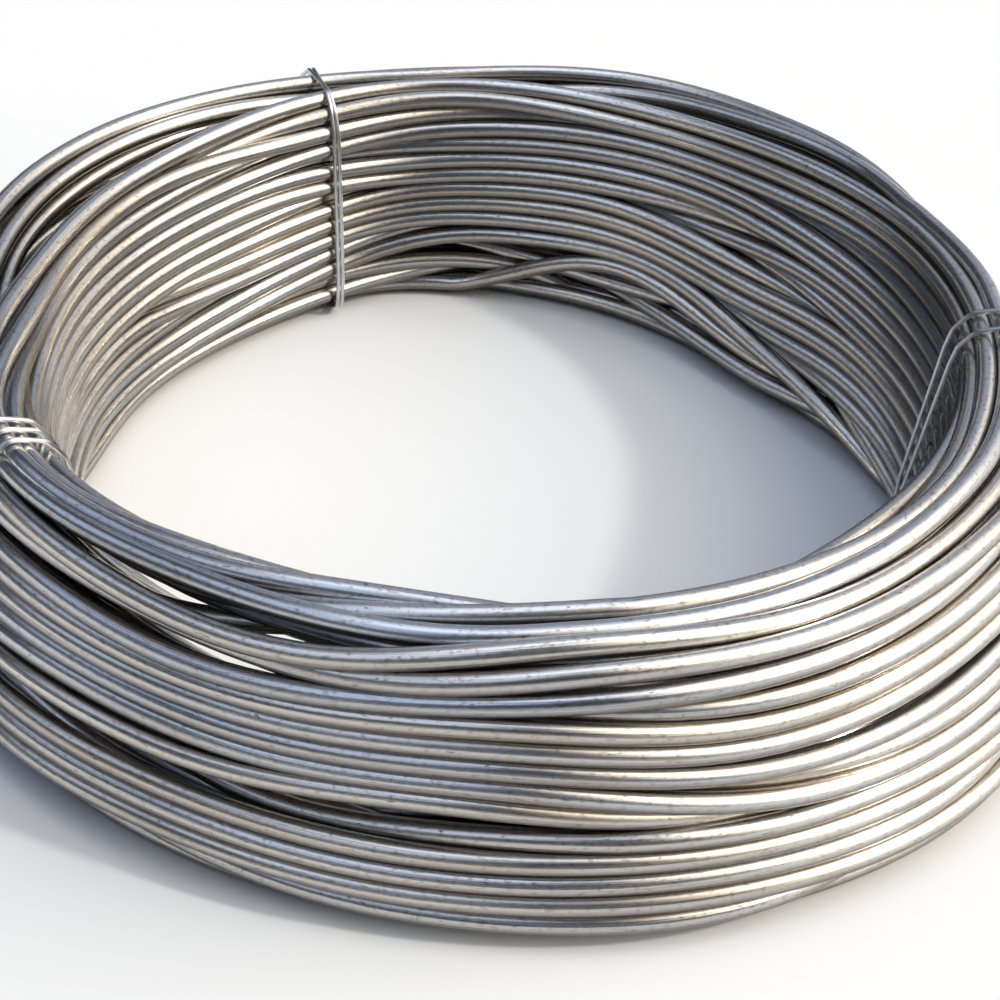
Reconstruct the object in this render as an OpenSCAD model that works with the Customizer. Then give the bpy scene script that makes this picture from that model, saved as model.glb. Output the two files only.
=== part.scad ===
// Coil of round steel wire rod, lying flat with its eye upright, bound by three wire ties.
// Millimetres. The coil's axis is Z, and the ties' undersides lie at Z = 0.

/* [Rod] */
// Diameter of the wire rod
rod_d = 7.5; // [5.5:0.5:10]

/* [Coil] */
// Clear diameter of the eye at its base, over the innermost turns
eye_d = 322; // [240:2:480]
// How much further out the eye's wall lies at the coil's top
eye_flare = 8; // [0:1:16]
// Radial thickness of the coil at its base
base_build = 67; // [56:1:110]
// Radial thickness of the coil at its top
top_build = 38; // [30:1:56]
// Height of the coil over its turns
coil_h = 104; // [70:1:180]
// Rounding of the coil's section, measured on the turns' centres
section_r = 13; // [8:0.5:20]
// How far each turn beds in between its neighbours
turn_bedding = 0.4; // [0.2:0.1:1]

/* [Ties] */
// Diameter of the tie wire
tie_d = 1.8; // [1.4:0.1:3]
// Gap between a tie and the turns that it binds
tie_gap = 0.3; // [0.2:0.05:0.6]
// Length of each tie's twisted tail
tail_l = 22; // [14:1:40]
// Place of the rear tie round the coil, in degrees
rear_tie_angle = 118; // [95:1:135]
// Wraps of the rear tie
rear_tie_wraps = 2; // [1:1:4]
// Gap between the rear tie's strands
rear_tie_gap = 0.3; // [0.2:0.1:6]
// Place of the right tie round the coil, in degrees
right_tie_angle = 1; // [-15:1:25]
// Wraps of the right tie
right_tie_wraps = 2; // [1:1:4]
// Gap between the right tie's strands
right_tie_gap = 7; // [0.2:0.1:8]
// Place of the left tie round the coil, in degrees
left_tie_angle = 214; // [195:1:235]
// Wraps of the left tie
left_tie_wraps = 3; // [1:1:4]
// Gap between the left tie's strands
left_tie_gap = 5; // [0.2:0.1:6]

/* [Hidden] */

// Sides of a tie's swept wire, and rings along each part of it
wire_sides = 8;
arc_rings = 6;
bend_rings = 7;
twist_rings = 12;

// Section's sides on the turns' centres, at the lowest row and at the highest row
low_in = eye_d / 2 + rod_d / 2;
low_out = low_in + base_build - rod_d;
top_in = low_in + eye_flare;
top_out = top_in + top_build - rod_d;
low_z = tie_d + tie_gap + rod_d / 2;
top_z = low_z + coil_h - rod_d;

// Rounding that leaves a flat on the section's narrowest side
least_flat = 1;
corner_r = min(section_r, (min(base_build, top_build, coil_h) - rod_d - least_flat) / 2);

// Centres of the section's four rounded corners, anticlockwise in (radius, height) from inner low
CORNERS = [
    [low_in + corner_r, low_z + corner_r],
    [low_out - corner_r, low_z + corner_r],
    [top_out - corner_r, top_z - corner_r],
    [top_in + corner_r, top_z - corner_r]
];
OUTER_WALL = 1;  // the edge from the outer low corner to the outer top corner

function unit(v) = v / norm(v);
function corner(k) = CORNERS[(k + 4) % 4];
function edge(k) = corner(k + 1) - corner(k);
function edge_normal(k) = [unit(edge(k)).y, -unit(edge(k)).x];
function normal_angle(k) = atan2(edge_normal(k).y, edge_normal(k).x);
function corner_turn(k) = (normal_angle(k) - normal_angle(k - 1) + 720) % 360;
function arc_length(k, r) = r * corner_turn(k) * PI / 180;

// Point on corner k's arc of radius r, at a share of its turn
function arc_point(k, r, share) =
    let (a = normal_angle(k - 1) + share * corner_turn(k))
    corner(k) + r * [cos(a), sin(a)];

// Length round the section at radius r from its corners, and the point at a distance s along it
function outline_length(r, k = 0) =
    k == 4 ? 0 : arc_length(k, r) + norm(edge(k)) + outline_length(r, k + 1);
function outline_point(r, s, k = 0) =
    s <= arc_length(k, r) ? arc_point(k, r, s / arc_length(k, r)) :
    s <= arc_length(k, r) + norm(edge(k)) || k == 3 ?
        corner(k) + r * edge_normal(k) + (s - arc_length(k, r)) * unit(edge(k)) :
    outline_point(r, s - arc_length(k, r) - norm(edge(k)), k + 1);

// Outermost turns, bedded against each other round the section
turn_count = ceil(outline_length(corner_r) / (rod_d - turn_bedding));
TURNS = [for (i = [0 : turn_count - 1])
    outline_point(corner_r, i * outline_length(corner_r) / turn_count)];

// Wire rod: one turned solid, whose outermost turns stand out as rings on every side
module coil() {
    color("silver")
    rotate_extrude($fn = 180) {
        polygon(TURNS);
        for (centre = TURNS)
            translate(centre) circle(d = rod_d, $fn = 32);
    }
}

// Tie wire's centre line round the section, one wrap from the middle of the outer wall,
// up, over the top, down the eye's wall and back under the base
tie_r = corner_r + rod_d / 2 + tie_gap + tie_d / 2;
wall_out = edge_normal(OUTER_WALL);
wall_up = unit(edge(OUTER_WALL));
knot = corner(OUTER_WALL) + tie_r * wall_out + edge(OUTER_WALL) / 2;
WRAP = concat([knot], [for (k = [OUTER_WALL + 1 : OUTER_WALL + 4], j = [0 : arc_rings])
    arc_point(k % 4, tie_r, j / arc_rings)], [knot]);
WRAP_DONE = [for (i = 0, done = 0; i < len(WRAP);
    done = done + norm(WRAP[min(i + 1, len(WRAP) - 1)] - WRAP[i]), i = i + 1) done];
wrap_l = WRAP_DONE[len(WRAP) - 1];

// Twisted tail: two strands round an axis that lies along the coil, just clear of the turns
twist_r = 0.56 * tie_d;
twist_pitch = 4.4 * tie_d;
axis_out = twist_r + 0.1 * tie_d;
bend_l = 5 * tie_d;
root_l = 2 * tie_d;

// Place in a tie's own frame: out from the wall, up the wall and along the coil, from the knot
function at_knot(out, up, along) =
    let (p = knot + out * wall_out + up * wall_up) [p.x, along, p.y];
function bezier(a, b, c, d, t) =
    pow(1 - t, 3) * a + 3 * t * pow(1 - t, 2) * b + 3 * t * t * (1 - t) * c + t * t * t * d;

// One strand of the tail from its root outwards, starting at a phase round the axis
function tail(root, phase) = [for (i = [0 : round(tail_l / twist_pitch * twist_rings)])
    let (a = phase + 360 * i / twist_rings)
    at_knot(axis_out + twist_r * cos(a), twist_r * sin(a), root + twist_pitch * i / twist_rings)];

// Bend from the wall into the tail: up is the strand's side of the knot, along where it lies
function bend(along, up, root, phase) =
    let (top = at_knot(0, up * bend_l, along),
         end = at_knot(axis_out + twist_r * cos(phase), twist_r * sin(phase), root),
         lift = at_knot(axis_out + twist_r * cos(phase), up * tie_d, along),
         lead = end - [0, (root - along) / 2, 0])
    [for (i = [1 : bend_rings - 1]) bezier(top, lift, lead, end, i / bend_rings)];

// Whole tie wire: first tail and bend, the wraps side by side, last bend and tail
function tie_route(wraps, gap) =
    let (pitch = tie_d + gap,
         first = -wraps * pitch / 2,
         last = wraps * pitch / 2,
         root = last + root_l,
         run = [for (w = [0 : wraps - 1], i = [1 : len(WRAP) - 2])
             [WRAP[i].x, first + pitch * (w + WRAP_DONE[i] / wrap_l), WRAP[i].y]],
         tail_out = tail(root, 0),
         bend_out = bend(first, 1, root, 0),
         bend_in = bend(last, -1, root, 180),
         tail_in = tail(root, 180))
    concat(reversed(tail_out), reversed(bend_out), run, bend_in, tail_in);

function reversed(list) = [for (i = [len(list) - 1 : -1 : 0]) list[i]];
function tangent(p, i) = unit(p[min(i + 1, len(p) - 1)] - p[max(i - 1, 0)]);
function square_to(v, t) = unit(v - (v * t) * t);

// Tube of the tie wire's diameter along a route, with a frame carried along without twisting
FIRST_SIDE = [0, 0.3, 1];  // any direction that no tie starts along
module swept_wire(route) {
    sides = [for (i = 0, n = square_to(FIRST_SIDE, tangent(route, 0)); i < len(route);
        i = i + 1, n = square_to(n, tangent(route, min(i, len(route) - 1)))) n];
    points = [for (i = [0 : len(route) - 1], j = [0 : wire_sides - 1])
        let (a = 360 * j / wire_sides)
        route[i] + tie_d / 2 * (cos(a) * sides[i] + sin(a) * cross(tangent(route, i), sides[i]))];
    last = (len(route) - 1) * wire_sides;
    polyhedron(points, concat(
        [[for (j = [0 : wire_sides - 1]) j]],
        [for (i = [0 : len(route) - 2], j = [0 : wire_sides - 1])
            let (a = i * wire_sides + j, b = i * wire_sides + (j + 1) % wire_sides)
            [a, a + wire_sides, b + wire_sides, b]],
        [[for (j = [wire_sides - 1 : -1 : 0]) last + j]]));
}

// Tie: one length of wire wrapped round the section and twisted shut on the outer wall,
// with its tail along the coil, anticlockwise (1) or clockwise (-1) as seen from above.
// Each point keeps its distance from the coil's axis, so the wire follows the coil's round.
module tie(angle, wraps, gap, tail_side) {
    route = [for (p = tie_route(wraps, gap)) [sqrt(p.x * p.x - p.y * p.y), tail_side * p.y, p.z]];
    color("gainsboro")
    rotate([0, 0, angle]) swept_wire(route);
}

module rear_tie() { tie(rear_tie_angle, rear_tie_wraps, rear_tie_gap, 1); }
module right_tie() { tie(right_tie_angle, right_tie_wraps, right_tie_gap, 1); }
module left_tie() { tie(left_tie_angle, left_tie_wraps, left_tie_gap, -1); }

coil();
rear_tie();
right_tie();
left_tie();
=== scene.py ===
"""Coil of bright steel wire rod, lying flat with its eye upright and bound by three wire ties."""
import math

import bpy
import numpy as np
from mathutils import Euler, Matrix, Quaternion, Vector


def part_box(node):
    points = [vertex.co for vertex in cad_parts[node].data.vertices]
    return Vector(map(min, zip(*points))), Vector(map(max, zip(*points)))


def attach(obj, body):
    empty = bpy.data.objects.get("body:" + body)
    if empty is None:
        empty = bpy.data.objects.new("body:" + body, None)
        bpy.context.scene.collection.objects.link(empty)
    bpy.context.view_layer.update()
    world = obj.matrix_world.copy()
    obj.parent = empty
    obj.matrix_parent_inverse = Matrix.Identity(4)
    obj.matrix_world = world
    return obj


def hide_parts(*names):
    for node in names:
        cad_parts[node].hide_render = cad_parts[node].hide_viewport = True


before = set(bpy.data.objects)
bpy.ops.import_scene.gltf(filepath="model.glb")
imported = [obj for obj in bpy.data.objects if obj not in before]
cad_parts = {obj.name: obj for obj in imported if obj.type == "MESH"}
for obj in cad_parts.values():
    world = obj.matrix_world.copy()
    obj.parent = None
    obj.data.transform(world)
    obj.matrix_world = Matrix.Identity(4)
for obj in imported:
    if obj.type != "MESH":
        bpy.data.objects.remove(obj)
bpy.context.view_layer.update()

# Wire rod
# One length of bright drawn steel rod, laid turn upon turn into a coil and left to spring out.
# The turns bear on each other, cross at shallow angles and stand apart where the coil has sprung.
ROD_D = 0.0075
ROD_SIDES = 16
TURNS = 74
SLICES = 160  # places round the coil at which the turns' section is worked out
FIRST_AZIMUTH = 200  # degrees, where the rod's two ends lie
EYE_BASE_R = 0.161
EYE_TOP_R = 0.171
TOP_R = 0.207
CORNER_R = 0.009  # rounding of the section, measured on the turns' centres

coil_low, coil_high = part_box("coil")
base_r = coil_high[0]
low_z = coil_low[2] + ROD_D / 2
top_z = coil_high[2] - ROD_D / 2
slice_azimuth = FIRST_AZIMUTH + np.arange(SLICES) * 360 / SLICES


def nearness(azimuth, reach):
    """1 in the slice at an azimuth, easing to 0 at its reach on both sides."""
    off = np.abs((slice_azimuth - azimuth + 180) % 360 - 180) / reach
    return np.cos(np.minimum(off, 1) * math.pi / 2) ** 2


def out_of_round(radius, *bulges):
    """A side's radius in each slice, with bulges of azimuth and reach in degrees and of size."""
    bulged = radius + sum(size * nearness(azimuth, reach) for azimuth, reach, size in bulges)
    return bulged[:, None]


base_out = out_of_round(base_r - ROD_D / 2, (318, 52, 0.008), (255, 46, -0.003), (25, 40, -0.004))
top_out = out_of_round(TOP_R - ROD_D / 2, (150, 50, 0.013), (78, 29, 0.0085), (10, 42, -0.018))
base_in = out_of_round(EYE_BASE_R + ROD_D / 2, (42, 52, -0.020), (112, 29, 0.006))
top_in = out_of_round(EYE_TOP_R + ROD_D / 2, (325, 40, -0.007), (218, 42, 0.011))


def side_limits(height):
    """Least and greatest radius of the rod's centre at a height, with the section's round corners."""
    share = np.clip((height - low_z) / (top_z - low_z), 0, 1)
    past_edge = np.maximum(height - (top_z - CORNER_R), low_z + CORNER_R - height)
    past_edge = np.clip(past_edge, 0, CORNER_R)
    trim = CORNER_R - np.sqrt(CORNER_R ** 2 - past_edge ** 2)
    inner = base_in + (top_in - base_in) * share + trim
    outer = base_out + (top_out - base_out) * share - trim
    return inner, np.maximum(outer, inner)


WINDING_SEED = 90
WANDER_SPREAD = 0.6
rng = np.random.default_rng(WINDING_SEED)


def eased(values, reach):
    """Values along the rod, smoothed over a reach in slices, with the rod's ends free."""
    steps = np.arange(-3 * reach, 3 * reach + 1)
    weight = np.exp(-0.5 * (steps / reach) ** 2)
    return np.convolve(np.pad(values, 3 * reach, mode="edge"), weight / weight.sum(), mode="valid")


def wander(reach):
    """Smooth random values along the rod, mostly from -1 to 1, that change over a reach in slices."""
    knots = rng.normal(0, WANDER_SPREAD, TURNS * SLICES // reach + 3)
    values = np.interp(np.arange(TURNS * SLICES) / reach, np.arange(len(knots)), knots)
    return eased(values, reach // 4)


def by_slice(values):
    """Values along the rod, set out in a row for each slice and a column for each turn."""
    return values.reshape(TURNS, SLICES).T.copy()


def by_length(values):
    """Values in rows of slices, set out along the rod again."""
    return values.T.reshape(-1)


# Rod as laid: it rises turn by turn, faster as the coil narrows, and swings slowly between the
# eye and the outside
SWINGS_PER_TURN = 0.17
SWING_STRAY = 0.25  # in swings
SWING_REACH = 200  # in slices
SWING_POWER = 0.7  # below 1, so that the rod lies longer at the sides than between them
QUICKENING = 1.14
RISE_STRAY = 0.05  # as a share of the coil's height
RISE_REACH = 120  # in slices
turn = np.arange(TURNS * SLICES) / SLICES
swing = np.cos(math.tau * (SWINGS_PER_TURN * turn + SWING_STRAY * wander(SWING_REACH)))
swing = np.sign(swing) * np.abs(swing) ** SWING_POWER
rise = np.clip((turn / TURNS) ** QUICKENING + RISE_STRAY * wander(RISE_REACH), 0, 1)
height = by_slice(low_z + (top_z - low_z) * rise)
inner, outer = side_limits(height)
radius = (inner + outer) / 2 + (outer - inner) / 2 * by_slice(swing)


GAP_ENDS = 0.25  # share of a gap's length over which each of its ends opens
SHOULDER_R = 0.205  # radius at which a gap's heights are given
THROUGH = 1.0  # depth of a gap that goes right through to the eye


def sprung_gap(first, last, first_z, last_z, opening, depth, fall):
    """A gap between turns from one azimuth and height to another, with its opening, its depth
    from the coil's side, and how steeply it falls towards the eye."""
    along = (slice_azimuth % 360 - first) / (last - first)
    share = np.clip(np.minimum(along, 1 - along) / GAP_ENDS, 0, 1)
    share = share * share * (3 - 2 * share)
    line = first_z + (last_z - first_z) * along
    return share[:, None], line[:, None], opening, depth, fall


gaps = (
    sprung_gap(211, 262, 0.1030, 0.1005, 0.0050, THROUGH, 1.06),
    sprung_gap(215, 258, 0.0865, 0.0850, 0.0050, THROUGH, 1.06),
    sprung_gap(214, 276, 0.034, 0.051, 0.0080, 0.026, 0.0),
    sprung_gap(222, 258, 0.050, 0.0545, 0.0040, 0.020, 0.0),
    sprung_gap(294, 330, 0.061, 0.068, 0.0030, 0.012, 0.0),
    sprung_gap(52, 112, 0.020, 0.030, 0.0040, 0.012, 0.0),
)

# Rod as it settles: its turns grow to full size, push each other apart, sag a little, spring to
# the coil's sides, close up at its crown on the right, spring out of its gaps, and stay stiff
STEPS = 600
NEIGHBOURS = 14
SEARCH_EVERY = 10  # steps from one search for each turn's neighbours to the next
FIRST_GIRTH = 0.4  # share of the rod's diameter at the first step
GIRTH_GROWTH = 1.2  # diameters over all the steps, so the rod has its full size halfway
CUSHION = 1.2  # diameters within which turns still push each other softly
CUSHION_PUSH = 0.02  # share of a full push
LEAST_APART = 1e-6
SAG = 0.00002  # metres a step
SPRING = 0.00005  # metres a step
CROWN = 0.012  # depth of the coil's top in which the turns close up
CROWN_AZIMUTH = 345
CROWN_REACH = 110
THROUGH_HOLD = 0.8  # share of a turn's way out of a gap that it takes in one step
SIDE_HOLD = 0.5
HOLD_EASING = 4  # the hold on a gap right through is full after a quarter of the steps
GAP_FADE = 1.5  # a gap is full down to half its depth and gone at one and a half times it
GAP_LIPS = 3  # turns beside a gap clear it by their own radius where it is a third open
STIFFNESS = ((0.5, 12), (0.85, 8), (1, 6))  # until a share of the steps, slices that a push bends
closing = nearness(CROWN_AZIMUTH, CROWN_REACH)[:, None]
slice_row = np.arange(SLICES)[:, None, None]
itself = np.eye(TURNS)[None]
for step in range(STEPS):
    done = step / STEPS
    if step % SEARCH_EVERY == 0:
        apart_r = radius[:, :, None] - radius[:, None, :]
        apart_z = height[:, :, None] - height[:, None, :]
        apart = np.sqrt(apart_r ** 2 + apart_z ** 2) + itself
        near = np.argpartition(apart, NEIGHBOURS, axis=2)[:, :, :NEIGHBOURS]
    girth = ROD_D * min(1, FIRST_GIRTH + GIRTH_GROWTH * done)
    apart_r = radius[:, :, None] - radius[slice_row, near]
    apart_z = height[:, :, None] - height[slice_row, near]
    apart = np.maximum(np.sqrt(apart_r ** 2 + apart_z ** 2), LEAST_APART)
    push = np.maximum(girth - apart, 0) + CUSHION_PUSH * np.maximum(CUSHION * girth - apart, 0)
    push /= 2 * apart
    move_r = (push * apart_r).sum(2)
    move_z = (push * apart_z).sum(2) - SAG
    inner, outer = side_limits(height)
    outward = 1 + closing * (np.clip((top_z - height) / CROWN - 1, -1, 1) - 1)
    move_r += SPRING * outward * np.sign(radius - (inner + outer) / 2)
    skin = np.minimum(outer - radius, radius - inner)
    for share, line, opening, depth, fall in gaps:
        slant = math.hypot(1, fall)
        above = (height - line - fall * (radius - SHOULDER_R)) / slant
        share = share * np.clip(GAP_FADE - skin / depth, 0, 1)
        clear = opening / 2 * share + ROD_D / 2 * np.minimum(1, GAP_LIPS * share)
        hold = THROUGH_HOLD * min(1, HOLD_EASING * done) if depth == THROUGH else SIDE_HOLD
        shift = hold * np.maximum(clear - np.abs(above), 0) * np.where(above >= 0, 1, -1)
        move_r -= shift * fall / slant
        move_z += shift / slant
    move_r += np.clip(radius, inner, outer) - radius
    move_z += np.clip(height, low_z, top_z) - height
    stiffness = next(reach for until, reach in STIFFNESS if done < until)
    radius = radius + by_slice(eased(by_length(move_r), stiffness))
    height = np.maximum(height + by_slice(eased(by_length(move_z), stiffness)), low_z)

path_azimuth = np.radians(np.tile(slice_azimuth, TURNS))
path_r = by_length(radius)
path_x = path_r * np.cos(path_azimuth)
path_y = path_r * np.sin(path_azimuth)
rod_path = np.stack([path_x, path_y, by_length(height)], 1)


def wire_tree():
    """Geometry Nodes that sweep a round wire along a path, noting on each point its length along
    the wire, its place round it and the wire's direction."""
    tree = bpy.data.node_groups.new("wire", "GeometryNodeTree")
    socket = tree.interface.new_socket
    socket("Path", in_out="INPUT", socket_type="NodeSocketGeometry")
    inputs = {
        "Diameter": socket("Diameter", in_out="INPUT", socket_type="NodeSocketFloat"),
        "Sides": socket("Sides", in_out="INPUT", socket_type="NodeSocketInt"),
        "Start": socket("Start", in_out="INPUT", socket_type="NodeSocketFloat"),
        "Finish": socket("Finish", in_out="INPUT", socket_type="NodeSocketMaterial"),
    }
    socket("Wire", in_out="OUTPUT", socket_type="NodeSocketGeometry")
    new = tree.nodes.new
    link = tree.links.new
    given = new("NodeGroupInput")
    half = new("ShaderNodeMath")
    half.operation = "MULTIPLY"
    half.inputs[1].default_value = 0.5
    circle = new("GeometryNodeCurvePrimitiveCircle")
    place = new("GeometryNodeInputPosition")
    note_round = new("GeometryNodeStoreNamedAttribute")
    note_round.data_type = "FLOAT_VECTOR"
    note_round.inputs["Name"].default_value = "round"
    length = new("GeometryNodeSplineParameter")
    from_start = new("ShaderNodeMath")
    note_along = new("GeometryNodeStoreNamedAttribute")
    note_along.data_type = "FLOAT"
    note_along.inputs["Name"].default_value = "along"
    tangent = new("GeometryNodeInputTangent")
    note_direction = new("GeometryNodeStoreNamedAttribute")
    note_direction.data_type = "FLOAT_VECTOR"
    note_direction.inputs["Name"].default_value = "direction"
    sweep = new("GeometryNodeCurveToMesh")
    sweep.inputs["Fill Caps"].default_value = True
    smooth = new("GeometryNodeSetShadeSmooth")
    realize = new("GeometryNodeRealizeInstances")
    finish = new("GeometryNodeSetMaterial")
    result = new("NodeGroupOutput")
    link(given.outputs["Diameter"], half.inputs[0])
    link(half.outputs[0], circle.inputs["Radius"])
    link(given.outputs["Sides"], circle.inputs["Resolution"])
    link(circle.outputs["Curve"], note_round.inputs["Geometry"])
    link(place.outputs[0], note_round.inputs["Value"])
    link(length.outputs["Length"], from_start.inputs[0])
    link(given.outputs["Start"], from_start.inputs[1])
    link(given.outputs["Path"], note_along.inputs["Geometry"])
    link(from_start.outputs[0], note_along.inputs["Value"])
    link(note_along.outputs[0], note_direction.inputs["Geometry"])
    link(tangent.outputs[0], note_direction.inputs["Value"])
    link(note_direction.outputs[0], sweep.inputs["Curve"])
    link(note_round.outputs[0], sweep.inputs["Profile Curve"])
    link(sweep.outputs[0], smooth.inputs["Geometry"])
    link(smooth.outputs[0], realize.inputs[0])
    link(realize.outputs[0], finish.inputs["Geometry"])
    link(given.outputs["Finish"], finish.inputs["Material"])
    link(finish.outputs[0], result.inputs[0])
    return tree, {name: item.identifier for name, item in inputs.items()}


wire_nodes, wire_inputs = wire_tree()


def wire_piece(name, points, **settings):
    """A wire swept along points with the tree's inputs set, as a plain mesh at the origin."""
    curve = bpy.data.curves.new(name + "_path", "CURVE")
    curve.dimensions = "3D"
    spline = curve.splines.new("POLY")
    spline.points.add(len(points) - 1)
    spline.points.foreach_set("co", np.c_[points, np.ones(len(points))].astype("f").ravel())
    route = bpy.data.objects.new(name + "_path", curve)
    bpy.context.collection.objects.link(route)
    sweep = route.modifiers.new("wire", "NODES")
    sweep.node_group = wire_nodes
    for setting, value in settings.items():
        sweep[wire_inputs[setting]] = value
    shown = route.evaluated_get(bpy.context.evaluated_depsgraph_get())
    mesh = bpy.data.meshes.new_from_object(shown)
    mesh.name = name
    route.modifiers.remove(sweep)
    bpy.data.objects.remove(route)
    bpy.data.curves.remove(curve)
    piece = bpy.data.objects.new(name, mesh)
    bpy.context.collection.objects.link(piece)
    return piece


class Finish:
    """A wire's metal finish, whose patterns follow the wire by its noted length and round. Its fine
    drawing lines run lengthwise, so that it shines softly across and sharply along."""

    def __init__(self, name):
        self.material = bpy.data.materials.new(name)
        self.material.use_nodes = True
        self.nodes = self.material.node_tree.nodes
        self.link = self.material.node_tree.links.new
        self.shader = self.nodes["Principled BSDF"]
        self.along = self.nodes.new("ShaderNodeAttribute")
        self.along.attribute_name = "along"
        self.round = self.nodes.new("ShaderNodeAttribute")
        self.round.attribute_name = "round"
        direction = self.nodes.new("ShaderNodeAttribute")
        direction.attribute_name = "direction"
        in_world = self.nodes.new("ShaderNodeVectorTransform")
        in_world.convert_from = "OBJECT"
        in_world.convert_to = "WORLD"
        self.link(direction.outputs["Vector"], in_world.inputs[0])
        self.link(in_world.outputs[0], self.shader.inputs["Tangent"])
        self.shader.inputs["Anisotropic"].default_value = 0.8
        self.shader.inputs["Anisotropic Rotation"].default_value = 0.25
        self.shader.inputs["Metallic"].default_value = 1.0

    def noise(self, per_metre, per_metre_round, detail):
        """Noise with so many features per metre along the wire and round it."""
        along = self.nodes.new("ShaderNodeCombineXYZ")
        self.link(self.along.outputs["Fac"], along.inputs["Z"])
        both = self.nodes.new("ShaderNodeVectorMath")
        self.link(along.outputs[0], both.inputs[0])
        self.link(self.round.outputs["Vector"], both.inputs[1])
        sized = self.nodes.new("ShaderNodeVectorMath")
        sized.operation = "MULTIPLY"
        sized.inputs[1].default_value = (per_metre_round, per_metre_round, per_metre)
        self.link(both.outputs[0], sized.inputs[0])
        grain = self.nodes.new("ShaderNodeTexNoise")
        grain.inputs["Scale"].default_value = 1
        grain.inputs["Detail"].default_value = detail
        self.link(sized.outputs[0], grain.inputs["Vector"])
        return grain.outputs["Fac"]

    def facing_up(self):
        """How far the surface faces up: 1 on the wire's top, -1 on its underside."""
        facing = self.nodes.new("ShaderNodeTexCoord")
        parts = self.nodes.new("ShaderNodeSeparateXYZ")
        self.link(facing.outputs["Normal"], parts.inputs[0])
        return parts.outputs["Z"]

    def band(self, value, low, high, to_low, to_high):
        """A value's stretch from low to high, spread over another range and held at its ends."""
        spread = self.nodes.new("ShaderNodeMapRange")
        spread.inputs["From Min"].default_value = low
        spread.inputs["From Max"].default_value = high
        spread.inputs["To Min"].default_value = to_low
        spread.inputs["To Max"].default_value = to_high
        self.link(value, spread.inputs["Value"])
        return spread.outputs[0]

    def mixed(self, share, first, second):
        """Two colours mixed by a share, each a plain colour or another mix."""
        mix = self.nodes.new("ShaderNodeMix")
        mix.data_type = "RGBA"
        self.link(share, mix.inputs["Factor"])
        for colour, place in ((first, "A"), (second, "B")):
            entry = [item for item in mix.inputs if item.name == place and item.type == "RGBA"][0]
            if isinstance(colour, tuple):
                entry.default_value = colour + (1,)
            else:
                self.link(colour, entry)
        return [item for item in mix.outputs if item.type == "RGBA"][0]


COOL_STEEL = (0.63, 0.66, 0.71)
WARM_STEEL = (0.76, 0.73, 0.675)
STAIN = (0.50, 0.41, 0.32)
DRAWING_LINE = (0.38, 0.295, 0.22)
RUST_SPECK = (0.34, 0.24, 0.16)
DARK_FLECK = (0.10, 0.09, 0.085)
# Dark brown painted shade for the rods' undersides, mixed in below.
UNDERSIDE_PAINTED_SHADE = (0.085, 0.065, 0.045)
rod_finish = Finish("bright_drawn_steel")
streaks = rod_finish.noise(7, 1900, 3)
patches = rod_finish.noise(11, 160, 4)
turn_tone = rod_finish.noise(0.9, 40, 2)
specks = rod_finish.noise(420, 800, 3)
flecks = rod_finish.noise(300, 900, 2)
steel = rod_finish.mixed(rod_finish.band(turn_tone, 0.35, 0.65, 0, 1), COOL_STEEL, WARM_STEEL)
stained = rod_finish.mixed(rod_finish.band(patches, 0.52, 0.72, 0, 0.5), steel, STAIN)
lined = rod_finish.mixed(rod_finish.band(streaks, 0.56, 0.72, 0, 0.6), stained, DRAWING_LINE)
specked = rod_finish.mixed(rod_finish.band(specks, 0.54, 0.7, 0, 0.5), lined, RUST_SPECK)
flecked = rod_finish.mixed(rod_finish.band(flecks, 0.66, 0.74, 0, 0.6), specked, DARK_FLECK)
# Painted shade: the steel's colour darkens to brown where the rod faces down, standing in for the
# dark reflection on its lower half.
underside = rod_finish.band(rod_finish.facing_up(), -0.2, 0.52, 0.78, 0)
with_painted_shade = rod_finish.mixed(underside, flecked, UNDERSIDE_PAINTED_SHADE)
rod_finish.link(with_painted_shade, rod_finish.shader.inputs["Base Color"])
rod_finish.link(rod_finish.band(streaks, 0.3, 0.7, 0.17, 0.29), rod_finish.shader.inputs["Roughness"])
drawn = rod_finish.nodes.new("ShaderNodeBump")
drawn.inputs["Strength"].default_value = 0.8
drawn.inputs["Distance"].default_value = 0.00007
rod_finish.link(streaks, drawn.inputs["Height"])
rod_finish.link(drawn.outputs[0], rod_finish.shader.inputs["Normal"])

rod_lengths = ("rod_lower_turns", "rod_middle_turns", "rod_upper_turns")
step_l = np.linalg.norm(np.diff(rod_path, axis=0), axis=1)
for k, length_name in enumerate(rod_lengths):
    first = k * len(rod_path) // len(rod_lengths)
    last = (k + 1) * len(rod_path) // len(rod_lengths) + 1
    rod = wire_piece(length_name, rod_path[first:last], Diameter=ROD_D, Sides=ROD_SIDES,
                     Start=float(step_l[:first].sum()), Finish=rod_finish.material)
    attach(rod, "root")
    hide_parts("coil")

# Ties
# Three lengths of soft galvanised wire, each wrapped round all the turns and pulled tight by hand.
# Its two ends are twisted together on the coil's outside, and the tail lies along the coil.
TIE_D = 0.0018
TIE_SIDES = 10
TIE_GAP = 0.0003
TAIL_L = 0.022
TWIST_R = 0.56 * TIE_D
TWIST_PITCH = 4.4 * TIE_D
TWIST_RINGS = 12
AXIS_OUT = TWIST_R + 0.1 * TIE_D
BEND_L = 5 * TIE_D
ROOT_L = 2 * TIE_D
BEND_RINGS = 9
SLICES_BESIDE = 2  # slices on each side of a tie whose turns it is pulled round
TURN_SIDES = 24


def convex_outline(points):
    """Outline of a string pulled round points in the section, anticlockwise."""
    def half(ordered):
        chain = []
        for x, y in ordered:
            while len(chain) > 1:
                (x0, y0), (x1, y1) = chain[-2:]
                if (x1 - x0) * (y - y0) > (y1 - y0) * (x - x0):
                    break
                chain.pop()
            chain.append((x, y))
        return chain[:-1]
    ordered = sorted(map(tuple, points))
    return half(ordered) + half(ordered[::-1])


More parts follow.
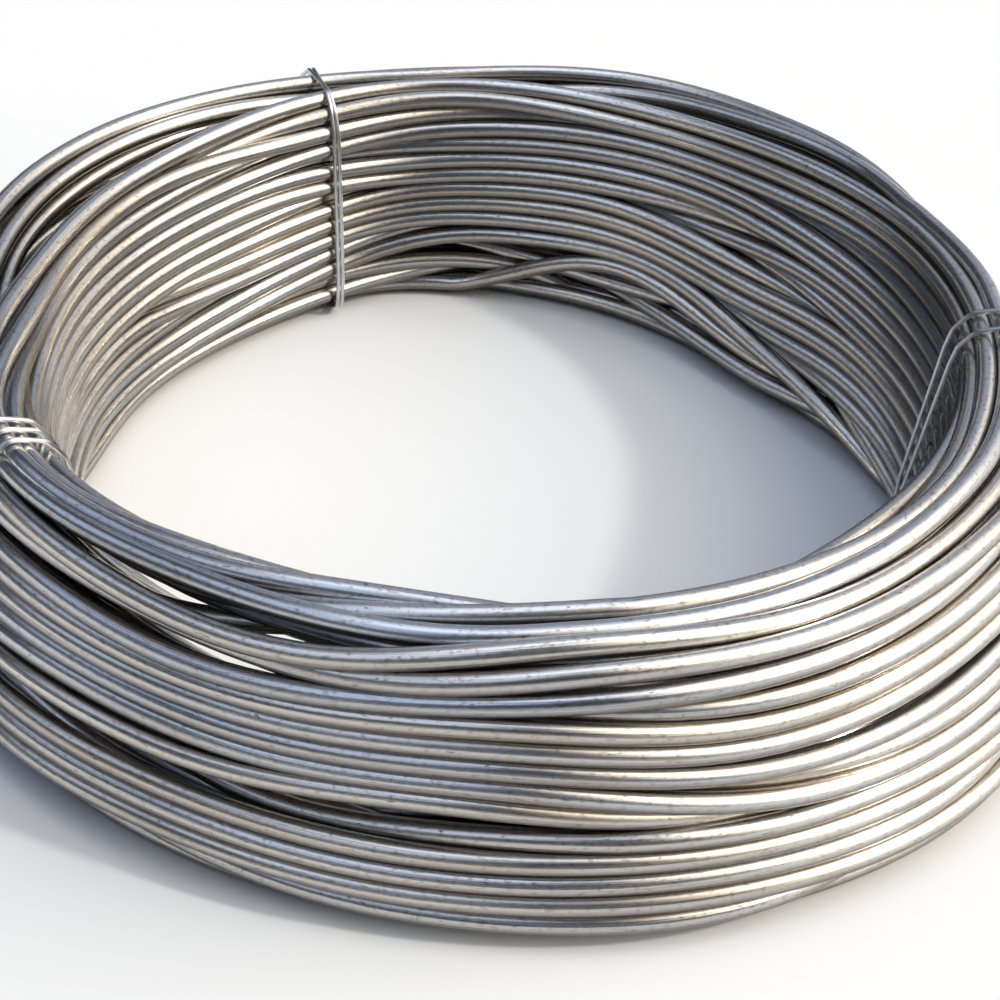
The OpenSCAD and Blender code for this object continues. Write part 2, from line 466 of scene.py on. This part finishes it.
def wrap_round(azimuth):
    """A tie's path in the section, from the middle of the outer wall, up, over and back to it."""
    nearest = int(round((azimuth - FIRST_AZIMUTH) % 360 * SLICES / 360))
    beside = np.arange(nearest - SLICES_BESIDE, nearest + SLICES_BESIDE + 1) % SLICES
    turn_round = np.linspace(0, math.tau, TURN_SIDES, endpoint=False)
    reach = ROD_D / 2 + TIE_GAP + TIE_D / 2
    around_r = radius[beside][:, :, None] + reach * np.cos(turn_round)
    around_z = height[beside][:, :, None] + reach * np.sin(turn_round)
    outline = convex_outline(np.c_[around_r.ravel(), around_z.ravel()])
    middle_z = (low_z + top_z) / 2
    ends = zip(outline, outline[1:] + outline[:1])
    under, over = next((a, b) for a, b in ends if a[1] <= middle_z < b[1])
    share = (middle_z - under[1]) / (over[1] - under[1])
    knot = np.array(under) + share * (np.array(over) - under)
    up = outline.index(over)
    wall_up = (np.array(over) - under) / math.dist(over, under)
    return np.array([knot, *outline[up:], *outline[:up], knot]), wall_up


def tie_route(azimuth, wraps, pitch, tail_side, drifts):
    """A tie wire's points: tail, bend, wraps side by side, bend and tail. Each drift is a place
    in wraps, a reach in wraps, and how far the wire strays along the coil there. Each point keeps
    its distance from the coil's axis, so the wire follows the coil's round."""
    wrap, wall_up = wrap_round(azimuth)
    wall_out = np.array([wall_up[1], -wall_up[0]])
    steps = np.linalg.norm(np.diff(wrap, axis=0), axis=1)
    done = np.r_[0, np.cumsum(steps)] / steps.sum()

    def at_knot(out, up, along):
        return np.r_[wrap[0] + out * wall_out + up * wall_up, along]

    first = -wraps * pitch / 2
    last = wraps * pitch / 2
    root = last + ROOT_L
    strands = []
    for number in range(wraps):
        turned = number + done[1:-1]
        strayed = first + pitch * turned
        for place, reach, size in drifts:
            off = np.minimum(np.abs(turned - place) / reach, 1)
            strayed = strayed + size * np.cos(off * math.pi / 2) ** 2
        strands.append(np.c_[wrap[1:-1], strayed])

    def tail(phase):
        angle = phase + math.tau / TWIST_RINGS * np.arange(round(TAIL_L / TWIST_PITCH * TWIST_RINGS))
        along = root + (angle - phase) / math.tau * TWIST_PITCH
        return [at_knot(AXIS_OUT + TWIST_R * math.cos(a), TWIST_R * math.sin(a), y)
                for a, y in zip(angle, along)]

    def bend(along, up, phase):
        out = AXIS_OUT + TWIST_R * math.cos(phase)
        start = at_knot(0, up * BEND_L, along)
        lift = at_knot(out, up * TIE_D, along)
        end = at_knot(out, TWIST_R * math.sin(phase), root)
        lead = end - np.array([0, 0, (root - along) / 2])
        return [(1 - t) ** 3 * start + 3 * t * (1 - t) ** 2 * lift
                + 3 * t * t * (1 - t) * lead + t ** 3 * end
                for t in np.arange(1, BEND_RINGS) / BEND_RINGS]

    points = np.array([*tail(0)[::-1], *bend(first, 1, 0)[::-1], *np.concatenate(strands),
                       *bend(last, -1, math.pi), *tail(math.pi)])
    turn_to = math.radians(azimuth)
    outward = np.array([math.cos(turn_to), math.sin(turn_to), 0])
    onward = np.array([-math.sin(turn_to), math.cos(turn_to), 0])
    out = np.sqrt(points[:, 0] ** 2 - points[:, 2] ** 2)
    level = np.outer(out, outward) + np.outer(tail_side * points[:, 2], onward)
    return level + np.outer(points[:, 1], (0, 0, 1))


DULL_ZINC = (0.52, 0.54, 0.57)
PALE_ZINC = (0.72, 0.72, 0.71)
tie_finish = Finish("galvanised_wire")
spangle = tie_finish.noise(160, 500, 3)
zinc = tie_finish.mixed(tie_finish.band(spangle, 0.35, 0.65, 0, 1), DULL_ZINC, PALE_ZINC)
tie_finish.link(zinc, tie_finish.shader.inputs["Base Color"])
tie_finish.link(tie_finish.band(spangle, 0.3, 0.7, 0.28, 0.5), tie_finish.shader.inputs["Roughness"])

for tie_name, azimuth, wraps, pitch, tail_side, drifts in (
        ("rear_tie", 118, 2, 0.0021, 1, ((1.05, 0.3, -0.008),)),
        ("right_tie", -2.2, 2, 0.0088, 1, ((0.42, 0.25, 0.011), (1.38, 0.3, 0.011))),
        ("left_tie", 214, 3, 0.0068, -1, ((2.45, 0.25, -0.004),))):
    route = tie_route(azimuth, wraps, pitch, tail_side, drifts)
    tie = wire_piece("dressed_" + tie_name, route, Diameter=TIE_D, Sides=TIE_SIDES, Start=0.0,
                     Finish=tie_finish.material)
    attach(tie, "root")
    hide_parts(tie_name)

# Floor
# A plain pale sheet that the coil lies on, flat for metres round it and gently raised at its far
# rim. To the eye and in the steel it is close to white, and it keeps the coil's shadow.
FLAT_R = 6.0
FLOOR_R = 20.0
RIM_RISE = 1.5
RIM_RINGS = 8
FLOOR_SIDES = 96
floor_points = []
floor_faces = [tuple(range(FLOOR_SIDES))]
for ring in range(RIM_RINGS + 1):
    rim_share = ring / RIM_RINGS
    ring_r = FLAT_R + (FLOOR_R - FLAT_R) * rim_share
    ring_z = RIM_RISE * rim_share ** 2
    for side in range(FLOOR_SIDES):
        angle = math.tau * side / FLOOR_SIDES
        floor_points.append((ring_r * math.cos(angle), ring_r * math.sin(angle), ring_z))
        if ring > 0:
            here = ring * FLOOR_SIDES + side
            beside = ring * FLOOR_SIDES + (side + 1) % FLOOR_SIDES
            floor_faces.append((here - FLOOR_SIDES, here, beside, beside - FLOOR_SIDES))
floor_mesh = bpy.data.meshes.new("floor")
floor_mesh.from_pydata(floor_points, [], floor_faces)
floor_mesh.polygons.foreach_set("use_smooth", [False] + [True] * (len(floor_faces) - 1))
floor = bpy.data.objects.new("floor", floor_mesh)
bpy.context.collection.objects.link(floor)
floor_paint = bpy.data.materials.new("floor_paint")
floor_paint.use_nodes = True
floor_shader = floor_paint.node_tree.nodes["Principled BSDF"]
floor_shader.inputs["Base Color"].default_value = (0.82, 0.855, 0.89, 1)
floor_shader.inputs["Roughness"].default_value = 0.9
floor_mesh.materials.append(floor_paint)

# Light
# A warm sun from the right in a wide glow, with soft patches of sky to the right, overhead and,
# bluish and weaker, in front, at the back and on the left. The sky between them is dim.
SUN_AZIMUTH = math.radians(-12)
SUN_HEIGHT = math.radians(40)
sun = bpy.data.lights.new("key", "SUN")
sun.energy = 1.15
sun.angle = math.radians(4)
sun.color = (1.0, 0.92, 0.80)
key = bpy.data.objects.new("key", sun)
bpy.context.collection.objects.link(key)
key.rotation_euler = (math.radians(90) - SUN_HEIGHT, 0, SUN_AZIMUTH + math.radians(90))
toward_sun = (math.cos(SUN_HEIGHT) * math.cos(SUN_AZIMUTH),
              math.cos(SUN_HEIGHT) * math.sin(SUN_AZIMUTH),
              math.sin(SUN_HEIGHT))

sky = bpy.data.worlds.new("sky")
bpy.context.scene.world = sky
sky.use_nodes = True
sky_nodes = sky.node_tree.nodes
sky_link = sky.node_tree.links.new
direction = sky_nodes.new("ShaderNodeTexCoord")


def sky_light(toward, first, last, colour, under):
    """Soft light from one side of the sky, added to the light under it. It starts and is full
    where a direction's share towards that side reaches first and last."""
    facing = sky_nodes.new("ShaderNodeVectorMath")
    facing.operation = "DOT_PRODUCT"
    facing.inputs[1].default_value = toward
    sky_link(direction.outputs["Generated"], facing.inputs[0])
    soft = sky_nodes.new("ShaderNodeMapRange")
    soft.interpolation_type = "SMOOTHSTEP"
    soft.inputs["From Min"].default_value = first
    soft.inputs["From Max"].default_value = last
    sky_link(facing.outputs["Value"], soft.inputs["Value"])
    lit = sky_nodes.new("ShaderNodeVectorMath")
    lit.operation = "MULTIPLY_ADD"
    lit.inputs[0].default_value = colour
    sky_link(soft.outputs[0], lit.inputs[1])
    if isinstance(under, tuple):
        lit.inputs[2].default_value = under
    else:
        sky_link(under, lit.inputs[2])
    return lit.outputs[0]


DIM_SKY = (0.045, 0.055, 0.075)
overhead = sky_light((0.12, 0.1, 0.985), 0.89, 0.985, (1.3, 1.38, 1.54), DIM_SKY)
left_sky = sky_light((-0.68, 0.1, 0.73), 0.92, 0.992, (0.5, 0.58, 0.74), overhead)
front_sky = sky_light((-0.3, -0.4, 0.866), 0.88, 0.98, (0.7, 0.8, 1.0), left_sky)
rear_sky = sky_light((0.15, 0.8, 0.58), 0.85, 0.97, (0.3, 0.33, 0.4), front_sky)
right_sky = sky_light((0.85, 0.02, 0.52), 0.6, 0.94, (0.7, 0.66, 0.6), rear_sky)
rear_right_sky = sky_light((0.7, 0.55, 0.42), 0.82, 0.96, (0.7, 0.61, 0.49), right_sky)
sun_glow = sky_light(toward_sun, 0.76, 0.97, (2.7, 2.37, 1.9), rear_right_sky)
sky_link(sun_glow, sky_nodes["Background"].inputs["Color"])

# Camera
# It looks down on the coil from the front, turned a little about its own line of sight.
SENSOR_W = 36
FOCAL_WIDTHS = 1.901  # focal length, in widths of the frame
CAMERA_PLACE = (0, -0.612, 0.4667)
CAMERA_PITCH = math.radians(36.87)
CAMERA_YAW = math.radians(-0.07)
CAMERA_ROLL = math.radians(2.95)
lens = bpy.data.cameras.new("camera")
lens.sensor_width = SENSOR_W
lens.lens = SENSOR_W * FOCAL_WIDTHS
camera = bpy.data.objects.new("camera", lens)
bpy.context.collection.objects.link(camera)
camera.location = CAMERA_PLACE
camera.rotation_mode = "QUATERNION"
level = Euler((math.radians(90) - CAMERA_PITCH, 0, CAMERA_YAW)).to_quaternion()
camera.rotation_quaternion = level @ Quaternion((0, 0, 1), CAMERA_ROLL)
bpy.context.scene.camera = camera
bpy.context.scene.view_settings.view_transform = "Standard"
